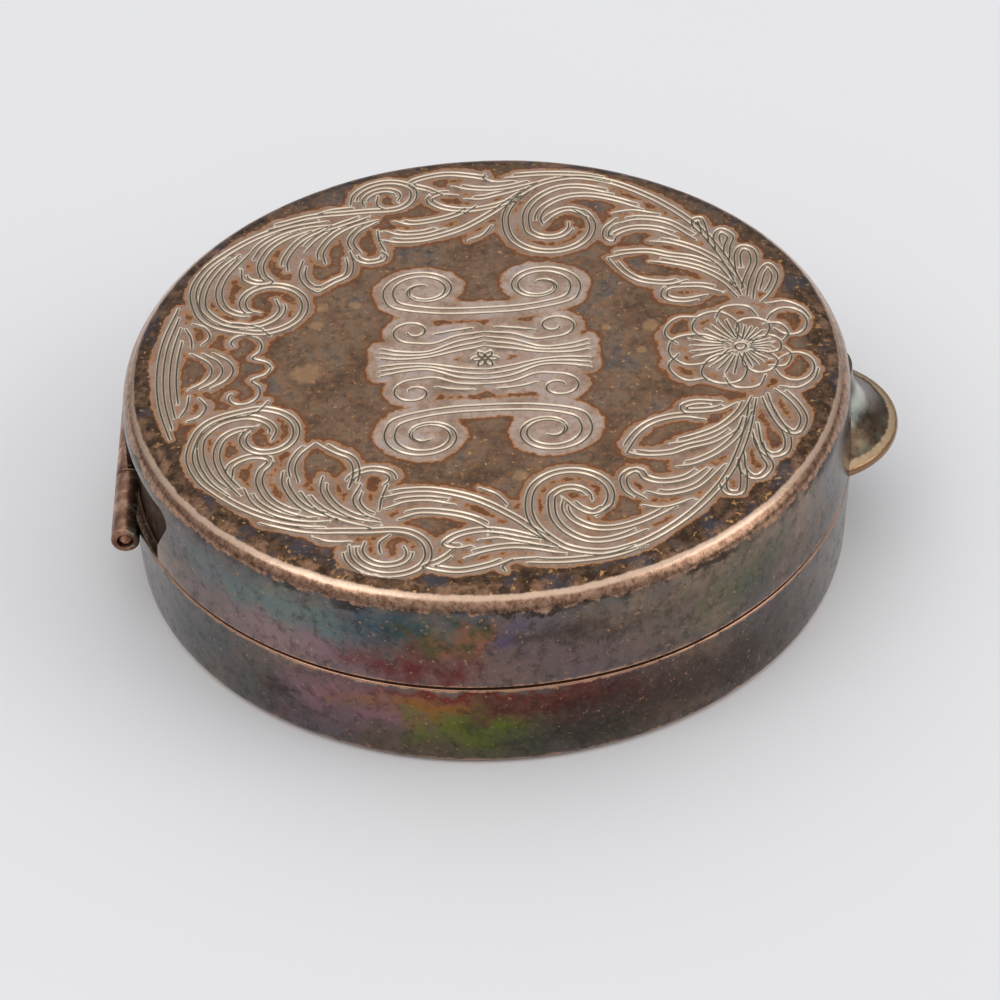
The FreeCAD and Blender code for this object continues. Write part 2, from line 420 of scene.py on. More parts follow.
def flower():
    """Open double flower on the axis, next to the thumb piece, with two loops between it and the rim."""
    centre = Vector((13.2, 0.0))
    strokes = [[tuple(centre + Vector(p)) for p in spiral((0, 0), 0.3, 0.26, 0, 360)]]
    for k in range(6):
        turn = Matrix.Rotation(math.radians(60 * k), 2)
        reach = 2.9 - 0.8 * math.cos(math.radians(60 * k))
        petal = [(0.6, 0.2), (0.45 * reach, 0.32 * reach), (0.8 * reach, 0.36 * reach),
                 (reach, 0.08 * reach), (0.9 * reach, -0.24 * reach), (0.5 * reach, -0.3 * reach),
                 (0.6, -0.2)]
        strokes.append([tuple(centre + turn @ Vector(p)) for p in petal])
        for fan in (-16, -5, 6, 17):
            ray = Vector((math.cos(math.radians(fan)), math.sin(math.radians(fan))))
            strokes.append([tuple(centre + turn @ (ray * reach * part)) for part in (0.25, 0.48, 0.7)])
        turn = Matrix.Rotation(math.radians(60 * k + 30), 2)
        reach = 3.5 - 0.75 * math.cos(math.radians(60 * k + 30))
        behind = [(0.72 * reach, 0.3 * reach), (0.94 * reach, 0.2 * reach), (reach, 0.0),
                  (0.94 * reach, -0.2 * reach), (0.72 * reach, -0.3 * reach)]
        strokes.append([tuple(centre + turn @ Vector(p)) for p in behind])
    for side in (-1, 1):
        strokes.append(spiral((16.0, side * 1.9), 1.25, 1.1, 170 * side, -150 * side))
        strokes.append([(14.9, side * 3.5), (16.0, side * 3.7), (17.0, side * 3.1), (17.4, side * 2.2)])
    return strokes


def centre_ornament():
    """Plain strapwork cartouche: two pairs of large volutes, and ribbons parted by a small flower."""
    strokes = []
    for end in (-1, 1):
        for reach, bowl in ((2.3, 4.0), (1.73, 4.45)):
            half = spiral((3.1, 6.1), 0.45, reach, 470, -50, 0.86) + [(2.4, bowl), (0.0, bowl - 0.12)]
            strokes.append([(u, end * v) for u, v in half + [(-u, v) for u, v in reversed(half[:-1])]])
        for side in (-1, 1):
            ribbons = [[(0.0, 1.0 + gap), (1.4, 0.7 + gap), (2.9, 0.3 + 0.6 * gap), (4.3, 0.2 + 0.8 * gap),
                        (5.4, 0.35 + gap)] for gap in (0.0, 0.4, 0.8)]
            ribbons.append([(0.0, 2.2), (1.4, 2.0), (2.6, 1.45)]
                           + spiral((3.7, 2.55), 1.2, 0.3, -95, 340, 0.86))
            ribbons.append([(0.6, 2.6), (1.7, 2.45), (2.6, 2.2)])
            strokes += [[(side * u, end * v) for u, v in ribbon] for ribbon in ribbons]
    for k in range(6):
        turn = Matrix.Rotation(math.radians(60 * k), 2)
        petal = [(0.1, 0.0), (0.4, 0.16), (0.68, 0.0), (0.4, -0.16), (0.1, 0.0)]
        strokes.append([tuple(turn @ Vector(p)) for p in petal])
    return strokes


def engraving():
    """Every engraved line as evenly spaced points. Border lines over 3 mm long have a companion."""
    half = rear_scroll() + rear_leaf() + side_scroll() + side_leaf() + front_scroll() + front_leaf()
    border = [kept_inside(curve(stroke)) for stroke in half + mirrored(half)]
    middle = [kept_inside(curve(stroke)) for stroke in rear_palmette() + flower() + centre_ornament()]
    return border + [beside(line) for line in border if len(line) * CUT_SPACING > 3.0] + middle


def leftward(line):
    """Unit steps to the left of a line at each of its points."""
    ahead = np.gradient(line, axis=0)
    ahead /= np.maximum(np.linalg.norm(ahead, axis=1, keepdims=True), 1e-9)
    return np.stack([-ahead[:, 1], ahead[:, 0]], 1)


def beside(line):
    """A second, shorter line that runs next to a line."""
    shifted = line + leftward(line) * CUT_GAP
    apart = np.linalg.norm(shifted[:, None] - line[None], axis=2).min(axis=1)
    return shifted[apart > 0.95 * CUT_GAP][4:-4]


def kept_inside(line, free=15.5):
    """Turns a line from (u, v) to (x, y), drawn in a little where it reaches past the free radius."""
    line = line * (RADIUS / ARTWORK_RADIUS)
    reach = np.hypot(line[:, 0], line[:, 1])
    drawn_in = np.where(reach > free, free + 0.8 * (reach - free), reach)
    line = line * (drawn_in / np.maximum(reach, 1e-9))[:, None]
    return np.stack([line[:, 1], -line[:, 0]], 1)


def entry(count):
    """How deep the graver runs at each point of a line: shallow where it enters and leaves."""
    from_end = np.minimum(np.arange(count), np.arange(count)[::-1]) * CUT_SPACING
    return np.clip(0.35 + from_end / 0.9, 0.35, 1.0)


def search_tree(lines):
    """The points of all lines, numbered in order, to be searched by place."""
    points = np.concatenate(lines)
    tree = kdtree.KDTree(len(points))
    for number, (x, y) in enumerate(points):
        tree.insert((x, y, 0), number)
    tree.balance()
    return tree


def field_points(tree):
    """An even field of points, away from the lines."""
    steps = int(FLAT_RADIUS / (FIELD_SPACING * TRIANGLE_HEIGHT)) + 1
    field = []
    for row in range(-steps, steps + 1):
        for column in range(-steps, steps + 1):
            x = (column + 0.5 * (row % 2)) * FIELD_SPACING
            y = row * FIELD_SPACING * TRIANGLE_HEIGHT
            if math.hypot(x, y) < FLAT_RADIUS - 0.15 and tree.find((x, y, 0))[2] > FIELD_CLEARANCE:
                field.append((x, y))
    return np.array(field)


def plate_points(lines, tree):
    """Points of the engraved plate: the rim, rows along every line, and the field between."""
    rows = [line + leftward(line) * offset * CUT_HALF_WIDTH
            for line in lines for offset in (0, -0.5, 0.5, -1.0, 1.0)]
    points = np.concatenate(rows + [field_points(tree)])
    points = points[np.hypot(points[:, 0], points[:, 1]) < FLAT_RADIUS - 0.1]
    angles = np.arange(TURN_STEPS) * 2 * math.pi / TURN_STEPS
    rim = np.stack([np.cos(angles), np.sin(angles)], 1) * FLAT_RADIUS
    return np.concatenate([rim, points])


def nearest_cut(lines, tree):
    """Finder of the distance to the nearest engraved line and of the line's depth there."""
    depths = np.concatenate([entry(len(line)) for line in lines])
    before = np.concatenate([np.concatenate([line[:1], line[:-1]]) for line in lines])
    after = np.concatenate([np.concatenate([line[1:], line[-1:]]) for line in lines])

    def find(x, y):
        point = Vector((x, y))
        best, depth = FAR_FROM_CUTS, 0
        for spot, index, _ in tree.find_n((x, y, 0), 2):
            middle = Vector(spot[:2])
            for other in (before[index], after[index]):
                step = Vector(other) - middle
                if step.length < 1e-6:
                    continue
                t = min(max((point - middle).dot(step) / step.length_squared, 0), 1)
                distance = (point - middle - step * t).length
                if distance < best:
                    best, depth = distance, depths[index]
        return best, depth
    return find


def engraved_plate():
    """Vertices, triangles and distance to the nearest cut for the lid's flat top."""
    lines = engraving()
    tree = search_tree(lines)
    points = [Vector(p) for p in plate_points(lines, tree)]
    find = nearest_cut(lines, tree)
    merged_within = 0.012
    flat, _, faces, *_ = geometry.delaunay_2d_cdt(points, [], [], 0, merged_within)
    verts, distances = [], []
    for point in flat:
        distance, depth = find(point.x, point.y)
        half_width = CUT_HALF_WIDTH * (0.5 + 0.5 * depth)
        fall = max(0.0, 1 - distance / half_width)
        verts.append((point.x, point.y, TOP - CUT_DEPTH * depth * fall))
        distances.append(distance)
    return verts, faces, distances


# ------------------------------ the pieces

def hinge_opening(side):
    """Cutter for the opening beside the tongue that carries the lid's knuckle."""
    tongue = KNUCKLE_HIGH.x - KNUCKLE_GAP
    below_rim = LID_RIM - 0.5
    low_edge, high_edge = 8.4, 10.1
    knee, top = 6.3, 9.3
    outline = rounded([(tongue, below_rim, 0), (low_edge, below_rim, 0), (low_edge, knee, 1.0),
                       (high_edge, top, 0.7), (tongue, top, 0.4)])
    count = len(outline)
    verts = [(side * x, y, z) for y in (8.0, RADIUS + 1) for x, z in outline]
    faces = [list(range(count)), list(range(2 * count - 1, count - 1, -1))]
    faces += [[i, (i + 1) % count, count + (i + 1) % count, count + i] for i in range(count)]
    return new_piece("cutter", verts, faces)


def lid_shell():
    centre, *rest = lid_section()
    section = [centre] + divided(rest, 0.8)
    section = section[:section.index(rest[-1]) + 1]
    shell = new_piece("lid_engraved_shell", *spun(section))
    for side in (-1, 1):
        combined(shell, hinge_opening(side), "DIFFERENCE")
    bored(shell, SOLDER_GAP, KNUCKLE_HIGH.x)
    return shell


def lid():
    """The lid's shell, with its plain flat top exchanged for the engraved plate."""
    shell = lid_shell()
    verts, faces, distances = engraved_plate()
    bm = bmesh.new()
    bm.from_mesh(shell.data)
    flat = [f for f in bm.faces if min(v.co.z for v in f.verts) > (TOP - 0.001) * MM and f.normal.z > 0.9]
    bmesh.ops.delete(bm, geom=flat, context="FACES")
    layer = bm.verts.layers.float.new("cut_distance")
    rim = [v for v in bm.verts if v.is_boundary]
    for vertex in bm.verts:
        vertex[layer] = FAR_FROM_CUTS
    plate = []
    for co, distance in zip(verts, distances):
        vertex = bm.verts.new(Vector(co) * MM)
        vertex[layer] = distance
        plate.append(vertex)
    for face in faces:
        bm.faces.new([plate[i] for i in face])
    turns = [round(math.atan2(v.co.y, v.co.x) / (2 * math.pi) * TURN_STEPS) % TURN_STEPS for v in rim]
    bmesh.ops.weld_verts(bm, targetmap={vertex: plate[turn] for vertex, turn in zip(rim, turns)})
    bmesh.ops.recalc_face_normals(bm, faces=bm.faces)
    bm.to_mesh(shell.data)
    bm.free()
    uneven(shell, "lid_pan", 0.02, 5.0)
    return finished(shell, "lid", "lid_pan")


def base():
    section = divided(rounded([
        (0, 0, 0),
        (wall_radius(0), 0, BASE_EDGE),
        (RADIUS, SEAM, RIM_EDGE),
        (RADIUS - WALL, SEAM, 0.06),
        (wall_radius(FLOOR) - WALL, FLOOR, BASE_EDGE),
        (0, FLOOR, 0),
    ], 8), 0.8)
    shell = new_piece("base_shell", *spun(section))
    grooved(shell)
    uneven(shell, "base_pan", 0.02, 5.0)
    return finished(shell, "base", "base_pan")


def collar_section(top):
    inside_base = WALL + 0.01
    inside_lid = WALL + COLLAR_GAP
    foot = wall_radius(COLLAR_LOW.z) - inside_base
    seam = RADIUS - inside_lid
    upper = wall_radius(top) - inside_lid
    return rounded([
        (foot - COLLAR_WALL, COLLAR_LOW.z, 0),
        (foot, COLLAR_LOW.z, 0),
        (RADIUS - inside_base, SEAM - COLLAR_LEDGE, 0),
        (seam, SEAM, 0),
        (upper, top, 0.2),
        (upper - COLLAR_WALL, top, 0.2),
        (seam - COLLAR_WALL, SEAM, 0),
    ])


def collar():
    ring = new_piece("collar", *spun(collar_section(COLLAR_TOP)))
    apron = new_piece("apron", *spun(collar_section(COLLAR_HIGH.z), 120, math.pi / 2 - APRON_HALF_ANGLE,
                                     2 * APRON_HALF_ANGLE))
    combined(ring, apron, "UNION")
    grooved(ring)
    return finished(ring, "base", "base_collar")


def knuckle(node, body):
    """One tube of the barrel, with worn rims."""
    low, high = box_mm(node)
    section = divided(rounded([(BORE, low.x, 0.03), (BARREL, low.x, 0.13), (BARREL, high.x, 0.13),
                               (BORE, high.x, 0.03)], 5), 0.35)
    tube = on_hinge(node + "_tube", section, 72)
    uneven(tube, node, 0.012, 1.5)
    return finished(tube, body, node)


def pin():
    radius = (PIN_HIGH.z - PIN_LOW.z) / 2
    section = divided(rounded([(0, PIN_LOW.x, 0), (radius, PIN_LOW.x, 0.22), (radius, PIN_HIGH.x, 0.22),
                               (0, PIN_HIGH.x, 0)], 6), 0.4)
    wire = on_hinge("hinge_pin_wire", section, 48)
    uneven(wire, "hinge_pin", 0.01, 0.6)
    return finished(wire, "base", "hinge_pin")


def lid_form():
    """Cutter with the lid's outer form, stepped out below the rim to clear the base."""
    low = BASE_HIGH.z - 1
    return new_piece("cutter", *spun(rounded([
        (0, low, 0),
        (RADIUS + 0.16, low, 0),
        (RADIUS + 0.16, LID_RIM, 0),
        (RADIUS + 0.01, LID_RIM, 0),
        (wall_radius(TOP) + 0.01, TOP, SHOULDER),
        (0, TOP, 0),
    ], 8)))


def flare_side(cove, last):
    """One side of the thumb piece's section: an arc from its neck down and out to a last radius."""
    middle = THUMB_NECK + THUMB_COVE
    lowest = math.acos((middle - last) / cove)
    angles = [lowest * k / 40 for k in range(41)]
    return [(middle - cove * math.cos(angle), THUMB_HIGH.z - cove * math.sin(angle)) for angle in angles]


def rim_bead(radius):
    """How far the thumb piece's rim is raised at a distance from the flare's centre."""
    return 0.1 * math.exp(-((THUMB_PLAN_RADIUS - 0.28 - radius) / 0.17) ** 2)


def thumb():
    """Half-moon flare with a rounded, slightly raised rim."""
    edge = 0.2
    last = THUMB_PLAN_RADIUS - edge
    face = [(radius, height + rim_bead(radius)) for radius, height in flare_side(THUMB_COVE, last)]
    back = flare_side(THUMB_COVE + THUMB_THICKNESS, last)[::-1]
    middle = (face[-1][1] + back[0][1]) / 2
    half = (face[-1][1] - back[0][1]) / 2
    rim = [(last + edge * math.cos(angle), middle + half * math.sin(angle))
           for angle in np.linspace(math.pi / 2, -math.pi / 2, 11)[1:-1]]
    half_turn = 1.35
    verts, faces = spun(face + rim + back, 150, -math.pi / 2 - half_turn, 2 * half_turn)
    lip = new_piece("thumb_lip", [(x, y + THUMB_CENTRE, z) for x, y, z in verts], faces)
    combined(lip, lid_form(), "DIFFERENCE")
    return finished(lip, "lid", "thumb_piece")


# ------------------------------ materials

def linear(colour):
    """Linear colour from ordinary 0-255 values; a node's output is left as it is."""
    if isinstance(colour, bpy.types.NodeSocket):
        return colour
    parts = [c / 255 for c in colour]
    return *(c / 12.92 if c <= 0.04045 else ((c + 0.055) / 1.055) ** 2.4 for c in parts), 1.0


def colour_ramp(tree, stops):
    """Colour ramp node through (position, colour) stops."""
    made = tree.nodes.new("ShaderNodeValToRGB")
    elements = made.color_ramp.elements
    while len(elements) < len(stops):
        elements.new(0.5)
    for element, (position, colour) in zip(elements, stops):
        element.position = position
        element.color = linear(colour)
    return made


class Graph:
    """A material whose nodes are wired as they are made. Its coordinates are the frame's, in mm."""

    def __init__(self, name):
        self.material = bpy.data.materials.new(name)
        self.material.use_nodes = True
        self.tree = self.material.node_tree
        self.tree.nodes.clear()
        place = self.node("TexCoord")["Object"]
        self.place = self.node("VectorMath", {0: place, "Scale": 1 / MM}, operation="SCALE")["Vector"]
        apart = self.node("SeparateXYZ", {0: self.place})
        self.x, self.y, self.z = apart["X"], apart["Y"], apart["Z"]
        self.reach = self.hypot(self.x, self.y)

    def node(self, kind, inputs=None, **settings):
        made = self.tree.nodes.new("ShaderNode" + kind)
        for key, value in settings.items():
            setattr(made, key, value)
        for key, value in (inputs or {}).items():
            socket = made.inputs[key]
            if isinstance(value, bpy.types.NodeSocket):
                self.tree.links.new(value, socket)
            else:
                socket.default_value = value
        return made.outputs

    def math(self, operation, a, b=0.0, c=0.0):
        return self.node("Math", {0: a, 1: b, 2: c}, operation=operation)[0]

    def plus(self, a, b):
        return self.math("ADD", a, b)

    def minus(self, a, b):
        return self.math("SUBTRACT", a, b)

    def times(self, a, b):
        return self.math("MULTIPLY", a, b)

    def scaled(self, value, factor, offset):
        """value times factor, plus offset."""
        return self.math("MULTIPLY_ADD", value, factor, offset)

    def hypot(self, a, b):
        return self.math("SQRT", self.scaled(a, a, self.times(b, b)))

    def noise(self, size, detail=4.0, roughness=0.55, stretch=(1, 1, 1), distortion=0.0):
        """Noise whose blotches are about size millimetres across."""
        place = self.node("VectorMath", {0: self.place, 1: stretch}, operation="MULTIPLY")["Vector"]
        return self.node("TexNoise", {"Vector": place, "Scale": 1 / size, "Detail": detail,
                                      "Roughness": roughness, "Distortion": distortion})["Fac"]

    def fade(self, value, low, high):
        """0 below low, 1 above high, smooth between; low may be the larger."""
        return self.node("MapRange", {"Value": value, "From Min": low, "From Max": high},
                         interpolation_type="SMOOTHSTEP")["Result"]

    def patches(self, size, detail, roughness, low, high):
        """Patches of noise, 1 inside and 0 outside, with soft edges between low and high."""
        return self.fade(self.noise(size, detail, roughness), low, high)

    def wander(self, amount, size, detail=4.0, roughness=0.55):
        """Noise about zero, to make an even edge ragged."""
        return self.scaled(self.noise(size, detail, roughness), amount, -amount / 2)

    def mix(self, amount, first, second):
        return self.node("Mix", {"Factor": amount, 6: linear(first), 7: linear(second)}, data_type="RGBA")[2]

    def tinted(self, colour, where, strength, tint):
        """A colour with a tint laid over it at a strength."""
        return self.mix(self.times(where, strength), colour, tint)

    def ramp(self, value, stops):
        made = colour_ramp(self.tree, stops)
        self.tree.links.new(value, made.inputs[0])
        return made.outputs["Color"]

    def metal(self, colour, roughness, metallic=0.85):
        """Worn metal with fine pits, hairline scratches in two directions, and slow waves."""
        pits = self.noise(0.28, 6, 0.68)
        scratches = self.math("MAXIMUM", self.noise(0.16, 2, 0.5, stretch=(0.06, 1.0, 1.0)),
                              self.noise(0.2, 2, 0.5, stretch=(1.0, 0.08, 1.0)))
        waves = self.noise(2.4, 2)
        normal = {}
        for height, distance in ((pits, 0.01), (scratches, 0.005), (waves, 0.035)):
            bump = self.node("Bump", {"Height": height, "Distance": distance * MM, **normal})
            normal = {"Normal": bump["Normal"]}
        return self.surface({"Base Color": colour, "Roughness": roughness, "Metallic": metallic, **normal})

    def surface(self, inputs):
        shader = self.node("BsdfPrincipled", inputs)["BSDF"]
        self.node("OutputMaterial", {"Surface": shader})
        return self.material


def film_colours(graph, thickness):
    """Colours of a tarnish film on silver as it thickens, from dull grey to a full spectrum."""
    return graph.ramp(thickness, [
        (0.00, (142, 120, 104)),
        (0.12, (116, 102, 92)),
        (0.24, (100, 94, 92)),
        (0.36, (106, 96, 100)),
        (0.47, (118, 88, 90)),
        (0.56, (110, 52, 48)),
        (0.63, (84, 60, 88)),
        (0.71, (56, 92, 98)),
        (0.79, (66, 100, 66)),
        (0.86, (108, 106, 50)),
        (0.93, (138, 94, 52)),
        (1.00, (106, 56, 48)),
    ])


def stained(graph, colour, stains):
    """Lays soft-edged stains on a wall. Bearings run from -X towards -Y, in degrees."""
    bearing = graph.math("ARCTAN2", graph.times(graph.y, -1.0), graph.times(graph.x, -1.0))
    bearing = graph.times(bearing, 180 / math.pi)
    bearing = graph.plus(bearing, graph.wander(42.0, 2.2, 6, 0.62))
    lifted = graph.minus(graph.noise(1.7, 6, 0.62, distortion=0.5), 0.5)
    lifted = graph.scaled(lifted, 4.2, graph.z)
    for place, spread, height, tall, strength, stain in stains:
        across = graph.math("DIVIDE", graph.minus(bearing, place), spread)
        up = graph.math("DIVIDE", graph.minus(lifted, height), tall)
        square = graph.scaled(across, across, graph.times(up, up))
        amount = graph.math("EXPONENT", graph.times(square, -1.0))
        colour = graph.tinted(colour, amount, strength, stain)
    return colour


def tarnished_wall(graph, stains, rims):
    """Colour and roughness of a shell's wall: film, stains, grime, pits, copper wear at the rims, and
    painted shade with green verdigris next to the barrel.
    """
    thickness = graph.scaled(graph.noise(6.0, 4, stretch=(1, 1, 1.6)), 1.1, -0.36)
    thickness = graph.plus(thickness, graph.wander(0.45, 0.8, 7, 0.7))
    colour = stained(graph, film_colours(graph, thickness), stains)
    grime = graph.patches(0.7, 9, 0.78, 0.48, 0.62)
    colour = graph.tinted(colour, grime, 0.5, (46, 36, 30))
    dust = graph.patches(0.26, 7, 0.75, 0.5, 0.68)
    colour = graph.tinted(colour, dust, 0.3, (142, 112, 90))
    pits = graph.patches(0.3, 5, 0.6, 0.62, 0.68)
    colour = graph.tinted(colour, pits, 0.55, (186, 142, 108))
    worn = 0.0
    ragged = graph.wander(3.0, 0.7, 6, 0.7)
    for height, reach in rims:
        offset = graph.math("ABSOLUTE", graph.minus(graph.z, height))
        offset = graph.scaled(ragged, reach, offset)
        worn = graph.math("MAXIMUM", worn, graph.fade(offset, reach, reach * 0.3))
    rubbed = graph.mix(graph.noise(0.5, 4), (160, 114, 88), (206, 166, 138))
    colour = graph.tinted(colour, worn, 0.9, rubbed)
    # Painted shade on the walls next to the barrel, at the seam: dark brown, with patches of green
    # verdigris.
    at_hinge = graph.fade(graph.y, AXIS.y - 4.2, AXIS.y - 3.2)
    near_barrel = graph.times(at_hinge, graph.fade(graph.math("ABSOLUTE", graph.x), 8.6, 7.4))
    near_barrel = graph.times(near_barrel, graph.fade(graph.z, SEAM - 0.9, SEAM - 0.3))
    near_barrel = graph.times(near_barrel, graph.fade(graph.z, SEAM + 1.6, SEAM + 0.6))
    shade_and_verdigris = graph.mix(graph.patches(0.4, 5, 0.55, 0.56, 0.66), (46, 36, 28), (112, 124, 104))
    colour = graph.tinted(colour, near_barrel, 0.85, shade_and_verdigris)
    roughness = graph.scaled(graph.noise(0.9, 5, 0.65), 0.26, 0.05)
    roughness = graph.scaled(grime, 0.12, roughness)
    return colour, roughness


# Rubbed spots on the lid's top, as (u, v, radius)
WORN_SPOTS = [(-9.2, -0.6, 0.85), (-8.5, 5.0, 0.45), (-6.7, 5.0, 0.35), (-8.7, 3.4, 0.35), (8.7, 2.1, 0.5),
              (8.1, 0.1, 0.28), (9.9, -1.5, 0.28), (6.4, 2.1, 0.25), (1.5, -9.6, 0.4), (2.6, -9.3, 0.3)]


def tarnished_field(graph):
    """Dark, speckled tarnish between the engraved lines."""
    field = graph.ramp(graph.noise(2.6, 8, 0.68), [
        (0.34, (92, 70, 54)), (0.45, (118, 92, 72)), (0.54, (134, 108, 86)), (0.62, (112, 100, 90)),
        (0.70, (94, 80, 78))])
    blots = graph.patches(0.6, 8, 0.74, 0.47, 0.62)
    field = graph.tinted(field, blots, 0.5, (154, 108, 74))
    dark = graph.patches(0.42, 8, 0.74, 0.48, 0.64)
    field = graph.tinted(field, dark, 0.55, (66, 50, 38))
    gold = graph.patches(0.3, 5, 0.6, 0.62, 0.67)
    field = graph.tinted(field, gold, 0.75, (202, 160, 112))
    ragged = graph.wander(1.8, 0.4, 6, 0.7)
    for u, v, radius in WORN_SPOTS:
        offset = graph.node("VectorMath", {0: graph.place, 1: (v, -u, TOP)}, operation="DISTANCE")["Value"]
        spot = graph.fade(graph.scaled(ragged, radius, offset), radius * 1.2, radius * 0.6)
        field = graph.tinted(field, spot, 0.5, (184, 146, 106))
    return field


def cleaned_band(graph):
    """Pinkish silver left fairly bright around the engraved lines."""
    tone = graph.ramp(graph.noise(1.5, 8, 0.68), [
        (0.34, (148, 122, 104)), (0.46, (174, 148, 130)), (0.56, (190, 168, 154)), (0.68, (178, 164, 164))])
    stain = graph.patches(0.45, 8, 0.74, 0.48, 0.64)
    return graph.tinted(tone, stain, 0.5, (150, 108, 80))


def lid_top(graph, ragged):
    """Colour of the lid's flat top, and how much of it is cleaned metal."""
    distance = graph.node("Attribute", attribute_name="cut_distance")["Fac"]
    wander = graph.wander(0.6, 0.5, 6, 0.66)
    slow = graph.wander(0.7, 2.4, 3)
    border = graph.fade(graph.reach, 8.4, 9.6)
    narrower = graph.scaled(border, 0.26, -0.2)
    edge = graph.plus(distance, graph.plus(graph.plus(wander, slow), narrower))
    clean = graph.fade(edge, 0.36, 0.28)
    rust = graph.times(graph.fade(edge, 0.68, 0.42), 0.85)
    colour = graph.mix(rust, tarnished_field(graph), (122, 72, 38))
    outline = graph.fade(edge, 0.45, 0.36)
    colour = graph.mix(outline, colour, (176, 128, 90))
    pale = graph.tinted(cleaned_band(graph), border, 0.42, (134, 98, 72))
    colour = graph.mix(clean, colour, pale)
    from_rim = graph.minus(FLAT_RADIUS, graph.reach)
    crescent = graph.fade(graph.plus(ragged, from_rim), 1.4, 0.6)
    crescent = graph.times(crescent, graph.fade(edge, 0.36, 0.5))
    near_side = graph.fade(graph.x, 13, 2)
    crescent = graph.times(crescent, graph.scaled(near_side, 0.5, 0.45))
    colour = graph.mix(crescent, colour, dark_crust(graph))
    bright = graph.fade(distance, 0.12, 0.085)
    silver = graph.mix(graph.noise(1.2, 4), (200, 180, 154), (238, 226, 208))
    colour = graph.mix(bright, colour, silver)
    deep = graph.fade(distance, 0.055, 0.03)
    colour = graph.tinted(colour, deep, 0.85, (58, 44, 30))
    return colour, clean


def dark_crust(graph):
    """Thick brown tarnish with slate patches and gold flecks."""
    mottled = graph.patches(0.6, 8, 0.74, 0.42, 0.62)
    crust = graph.mix(mottled, (54, 38, 26), (104, 76, 54))
    slate = graph.patches(2.2, 6, 0.6, 0.5, 0.62)
    crust = graph.tinted(crust, slate, 0.75, (66, 66, 76))
    flecks = graph.patches(0.35, 5, 0.6, 0.6, 0.66)
    return graph.tinted(crust, flecks, 0.7, (198, 152, 98))


# Stains: bearing, spread, height, half-height, strength and colour
LID_STAINS = [
    (-34, 18, 8.3, 1.2, 0.75, (98, 124, 122)),
    (-30, 22, 6.3, 1.3, 0.75, (146, 118, 124)),
    (-15, 9, 8.7, 0.9, 0.95, (38, 74, 92)),
    (-9, 7, 8.2, 1.0, 0.85, (66, 76, 34)),
    (-12, 10, 6.4, 1.3, 0.95, (102, 24, 24)),
    (-3, 4, 8.1, 0.9, 0.85, (160, 98, 58)),
    (3, 5, 8.5, 0.7, 0.8, (84, 78, 116)),
    (10, 18, 6.8, 1.6, 0.6, (112, 88, 88)),
    (14, 9, 8.4, 0.6, 0.7, (58, 44, 36)),
    (38, 12, 7.8, 1.4, 0.6, (76, 90, 60)),
    (58, 14, 6.6, 1.5, 0.6, (60, 48, 44)),
    (150, 30, 8.0, 1.6, 0.6, (70, 94, 98)),
    (-120, 24, 7.0, 1.6, 0.6, (116, 72, 80)),
]
BASE_STAINS = [
    (-50, 22, 2.8, 2.4, 0.6, (62, 74, 74)),
    (-25, 12, 3.2, 1.8, 0.9, (140, 102, 112)),
    (-37, 5, 2.4, 1.0, 0.85, (48, 36, 28)),
    (-12, 10, 1.4, 1.4, 0.7, (84, 66, 56)),
    (-9, 11, 3.9, 0.8, 0.95, (164, 96, 46)),
    (-4, 9, 2.5, 1.4, 0.95, (106, 120, 40)),
    (-3, 18, 4.75, 0.3, 0.9, (120, 26, 18)),
    (12, 14, 3.9, 1.2, 0.95, (92, 32, 26)),
    (12, 14, 1.4, 1.3, 0.7, (44, 54, 44)),
    (36, 30, 2.6, 2.4, 0.85, (48, 36, 30)),
    (160, 36, 2.8, 1.8, 0.6, (104, 68, 82)),
    (-140, 24, 2.4, 1.6, 0.6, (64, 84, 68)),
]


def inside(graph, ring_radius, ring_height, towards, skin):
    """1 on a shell's inner faces, which lie nearer than skin to the ring that its edge is rounded about."""
    across = graph.math("MAXIMUM", graph.minus(graph.reach, ring_radius), 0.0)
    along = graph.times(graph.minus(graph.z, ring_height), towards)
    along = graph.math("MAXIMUM", along, 0.0)
    return graph.fade(graph.hypot(across, along), skin + 0.05, skin - 0.05)


def inner_silver(graph):
    """Dull silver of the inside, browner towards the walls, with dark specks."""
    silver = graph.ramp(graph.noise(3.2, 7, 0.62), [
        (0.32, (126, 104, 86)), (0.45, (158, 138, 118)), (0.56, (186, 170, 150)), (0.68, (168, 150, 140))])
    ragged = graph.wander(5.0, 1.8, 6, 0.66)
    edge = graph.fade(graph.plus(graph.reach, ragged), 14.0, 18.2)
    silver = graph.tinted(silver, edge, 0.6, (112, 82, 62))
    specks = graph.patches(0.35, 6, 0.66, 0.6, 0.68)
    return graph.tinted(silver, specks, 0.7, (70, 54, 42))


